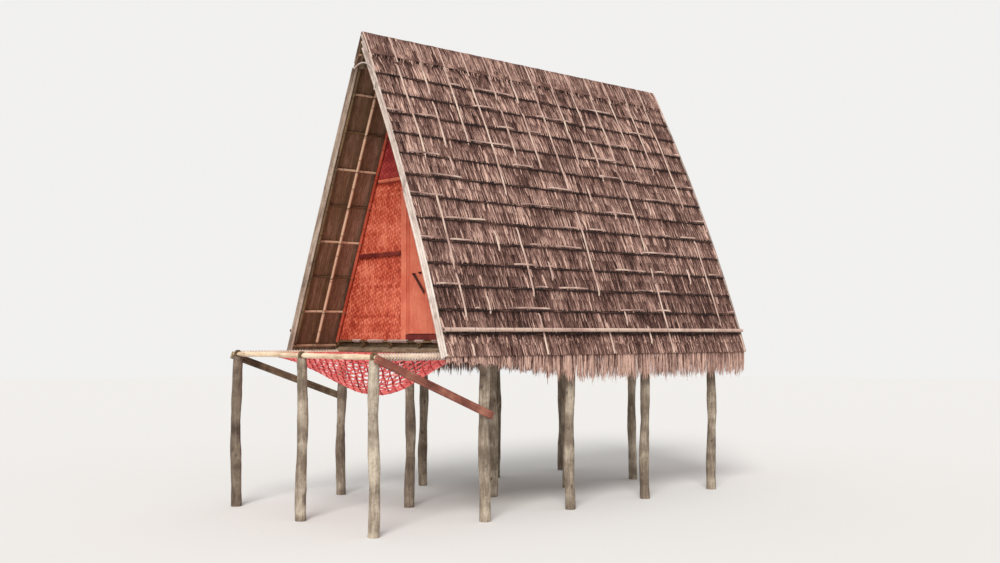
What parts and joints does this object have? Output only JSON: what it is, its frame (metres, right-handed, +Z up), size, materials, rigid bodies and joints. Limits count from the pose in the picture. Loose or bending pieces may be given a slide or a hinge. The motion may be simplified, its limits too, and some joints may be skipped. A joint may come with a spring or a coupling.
{
  "type": "stilt house",
  "caption": "Small thatched A-frame hut on crooked log stilts, with a steep bowed roof to the floor, a painted gable wall with a hinged door and a sagging rope net deck in front.",
  "frame": {"origin": "middle of the ground plan, net deck included, at the level of the post feet", "axes": "+X to the right as seen from the front, +Y from the front gable to the rear, +Z up"},
  "size_m": [3.0174, 5.6784, 5.2432],
  "materials": {
    "post_wood": "rough",
    "beam_wood": "rough",
    "bamboo": "satin",
    "floor_bamboo": "satin",
    "peeled_pole": "satin",
    "brace_wood": "rough",
    "net_rope": "matte",
    "painted_mat": "matte",
    "painted_gable": "matte",
    "painted_wood": "satin",
    "threshold_wood": "satin",
    "dark_wood": "satin",
    "thatch": "rough",
    "split_bamboo": "satin",
    "pale_board": "satin",
    "grey_board": "rough"
  },
  "bodies": {
    "house": {"net_post_left": "post_wood", "net_post_middle": "post_wood", "net_post_right": "post_wood", "front_post_left": "post_wood", "front_post_middle": "post_wood", "front_post_right": "post_wood", "second_post_left": "post_wood", "second_post_middle": "post_wood", "second_post_right": "post_wood", "third_post_left": "post_wood", "third_post_middle": "post_wood", "third_post_right": "post_wood", "rear_post_left": "post_wood", "rear_post_middle": "post_wood", "rear_post_right": "post_wood", "front_beam": "beam_wood", "second_beam": "beam_wood", "third_beam": "beam_wood", "rear_beam": "beam_wood", "floor_joists": "bamboo", "floor_deck": "floor_bamboo", "net_front_pole": "peeled_pole", "net_rail_left": "peeled_pole", "net_rail_right": "peeled_pole", "net_deck": "net_rope", "brace_left": "brace_wood", "brace_right": "brace_wood", "front_wall_left": "painted_mat", "front_wall_right": "painted_mat", "front_gable": "painted_gable", "front_tie_pole": "painted_wood", "door_jamb_left": "painted_wood", "door_jamb_right": "painted_wood", "threshold": "threshold_wood", "rear_wall": "painted_mat", "ridge_pole": "beam_wood", "roof_frame_left": "bamboo", "roof_frame_right": "bamboo", "thatch_left": "thatch", "thatch_right": "thatch", "roof_lattice_left": "split_bamboo", "roof_lattice_right": "split_bamboo", "ridge_cap": "split_bamboo", "verge_boards_left": "grey_board", "verge_boards_right": "pale_board", "gable_hoop": "pale_board"},
    "door": {"door_leaf": "painted_wood", "door_latch": "dark_wood"}
  },
  "joints": [
    {"name": "door_hinge", "type": "hinge", "parent": "house", "child": "door", "pos_m": [0.036, -1.39608, 2.78], "axis": [0, 0, -1], "range_deg": [0, 100]}
  ]
}
